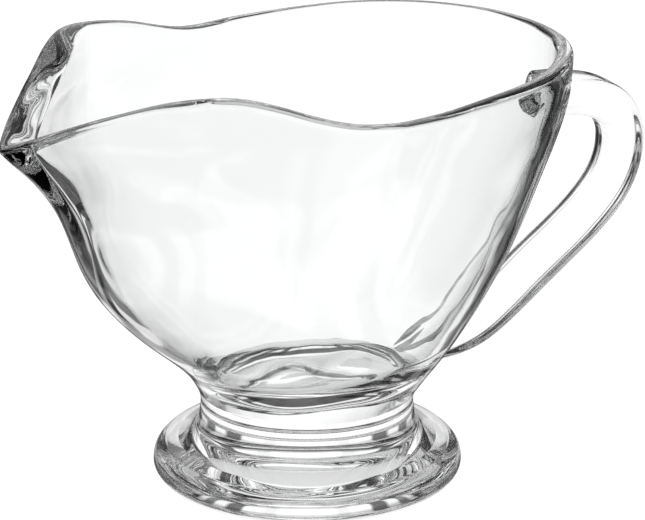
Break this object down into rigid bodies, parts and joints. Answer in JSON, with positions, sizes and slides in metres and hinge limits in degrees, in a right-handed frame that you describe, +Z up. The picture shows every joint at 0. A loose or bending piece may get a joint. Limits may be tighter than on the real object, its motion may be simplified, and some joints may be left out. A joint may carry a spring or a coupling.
{
  "type": "sauce boat",
  "caption": "Clear pressed-glass sauce boat: an egg-shaped bowl with a pouring spout and a wavy rim, on a short stem and a round foot, with a loop handle.",
  "frame": {"origin": "centre of the round foot's flat underside, on the surface it stands on", "axes": "+Z up, +X towards the handle, -X towards the spout, +Y towards the side on the left of someone who holds the handle and pours away from themselves"},
  "size_m": [0.1716, 0.0872, 0.1093],
  "materials": {
    "bowl_glass": "clear, fire-polished, with faint waviness from pressing",
    "stem_glass": "clear, thick and solid",
    "foot_glass": "clear, with a lightly worn ring underneath",
    "handle_glass": "clear, solid rounded bar"
  },
  "bodies": {
    "root": {"bowl": "bowl_glass", "stem": "stem_glass", "foot": "foot_glass", "handle": "handle_glass"}
  },
  "joints": []
}
